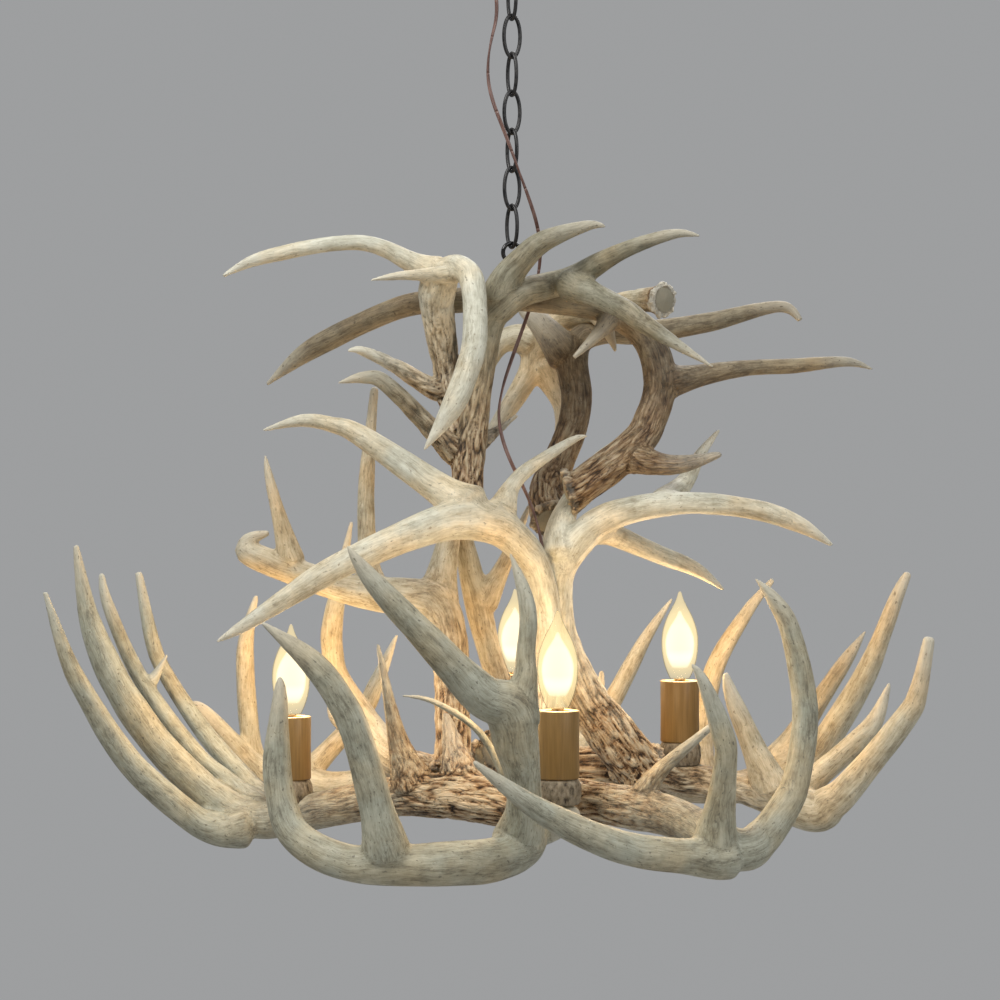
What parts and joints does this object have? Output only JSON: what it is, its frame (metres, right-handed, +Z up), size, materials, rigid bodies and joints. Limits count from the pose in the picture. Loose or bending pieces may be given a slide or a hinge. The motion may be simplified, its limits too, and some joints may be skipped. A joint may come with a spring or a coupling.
{
  "type": "antler chandelier",
  "caption": "Chain-hung ceiling light built from interlocked shed antlers, with candle-style lamps standing on the lower antlers and a brown supply cord beside the chain.",
  "frame": {"origin": "centre of the ceiling crossbar's two screw holes, on the ceiling plane at the middle of the canopy's rim", "axes": "+Z up into the ceiling, +X to the right in the front view, +Y away from the front"},
  "size_m": [0.8149, 0.7371, 0.8534],
  "materials": {
    "antler": "weathered bone, matte",
    "burr_slice": "rough antler burr, sawn faces",
    "candle_wood": "waxed, satin",
    "socket_body": "moulded",
    "brass": "rolled thread",
    "bulb_glass": "clear",
    "black_metal": "matte black",
    "gloss_black_metal": "gloss black",
    "cord_jacket": "brown flex",
    "black_plastic": "moulded",
    "plain_steel": "zinc plated"
  },
  "bodies": {
    "ceiling_fitting": {"canopy": "black_metal", "mounting_crossbar": "plain_steel", "threaded_nipple": "plain_steel", "nipple_locknut": "plain_steel", "collar_ring": "black_metal", "canopy_loop": "black_metal", "cord_bushing": "black_plastic", "wire_nut": "black_plastic"},
    "link_1": {"chain_link_1": "black_metal"},
    "link_2": {"chain_link_2": "black_metal"},
    "link_3": {"chain_link_3": "black_metal"},
    "link_4": {"chain_link_4": "black_metal"},
    "link_5": {"chain_link_5": "black_metal"},
    "link_6": {"chain_link_6": "black_metal"},
    "link_7": {"chain_link_7": "black_metal"},
    "lamp": {"antler_back": "antler", "antler_back_left": "antler", "antler_back_right": "antler", "antler_column": "antler", "antler_front_left": "antler", "antler_front_right": "antler", "antler_left": "antler", "antler_mid_center": "antler", "antler_mid_left": "antler", "antler_mid_rear": "antler", "antler_pins": "plain_steel", "antler_rear_left": "antler", "antler_right": "antler", "antler_top_back": "antler", "antler_top_front": "antler", "antler_top_left": "antler", "antler_top_rear": "antler", "antler_top_right": "antler", "candle_seat_back": "burr_slice", "candle_seat_front": "burr_slice", "candle_seat_left": "burr_slice", "candle_seat_right": "burr_slice", "candle_sleeve_back": "candle_wood", "candle_sleeve_front": "candle_wood", "candle_sleeve_left": "candle_wood", "candle_sleeve_right": "candle_wood", "candle_socket_back": "socket_body", "candle_socket_front": "socket_body", "candle_socket_left": "socket_body", "candle_socket_right": "socket_body", "hanging_eye": "gloss_black_metal", "supply_cord": "cord_jacket"},
    "bulb_front": {"bulb_base_front": "brass", "bulb_glass_front": "bulb_glass"},
    "bulb_right": {"bulb_base_right": "brass", "bulb_glass_right": "bulb_glass"},
    "bulb_left": {"bulb_base_left": "brass", "bulb_glass_left": "bulb_glass"},
    "bulb_back": {"bulb_base_back": "brass", "bulb_glass_back": "bulb_glass"}
  },
  "joints": [
    {"name": "swing_1", "type": "hinge", "parent": "ceiling_fitting", "child": "link_1", "pos_m": [0, 0, -0.063], "axis": [0.9135, 0.4067, 0], "range_deg": [-10, 10], "deforming": ["supply_cord"]},
    {"name": "swing_2", "type": "hinge", "parent": "link_1", "child": "link_2", "pos_m": [0, 0, -0.09755], "axis": [0.4305, -0.9026, 0], "range_deg": [-10, 10], "deforming": ["supply_cord"]},
    {"name": "swing_3", "type": "hinge", "parent": "link_2", "child": "link_3", "pos_m": [0, 0, -0.13235], "axis": [0.891, 0.454, 0], "range_deg": [-10, 10], "deforming": ["supply_cord"]},
    {"name": "swing_4", "type": "hinge", "parent": "link_3", "child": "link_4", "pos_m": [0, 0, -0.16715], "axis": [0.4772, -0.8788, 0], "range_deg": [-10, 10], "deforming": ["supply_cord"]},
    {"name": "swing_5", "type": "hinge", "parent": "link_4", "child": "link_5", "pos_m": [0, 0, -0.20195], "axis": [0.866, 0.5, 0], "range_deg": [-10, 10], "deforming": ["supply_cord"]},
    {"name": "swing_6", "type": "hinge", "parent": "link_5", "child": "link_6", "pos_m": [0, 0, -0.23675], "axis": [0.5225, -0.8526, 0], "range_deg": [-10, 10], "deforming": ["supply_cord"]},
    {"name": "swing_7", "type": "hinge", "parent": "link_6", "child": "link_7", "pos_m": [0, 0, -0.27155], "axis": [0.8387, 0.5446, 0], "range_deg": [-10, 10], "deforming": ["supply_cord"]},
    {"name": "swing_8", "type": "hinge", "parent": "link_7", "child": "lamp", "pos_m": [0, 0, -0.30635], "axis": [0.5664, -0.8241, 0], "range_deg": [-10, 10], "deforming": ["supply_cord"]},
    {"name": "bulb_turn_front", "type": "hinge", "parent": "lamp", "child": "bulb_front", "pos_m": [0.038, -0.177, -0.7962], "axis": [0, 0, 1], "range_deg": [0, 1080]},
    {"name": "bulb_turn_right", "type": "hinge", "parent": "lamp", "child": "bulb_right", "pos_m": [0.16, 0.096, -0.7892], "axis": [0, 0, 1], "range_deg": [0, 1080]},
    {"name": "bulb_turn_left", "type": "hinge", "parent": "lamp", "child": "bulb_left", "pos_m": [-0.204, 0.022, -0.8172], "axis": [0, 0, 1], "range_deg": [0, 1080]},
    {"name": "bulb_turn_back", "type": "hinge", "parent": "lamp", "child": "bulb_back", "pos_m": [0.004, 0.226, -0.7912], "axis": [0, 0, 1], "range_deg": [0, 1080]}
  ]
}
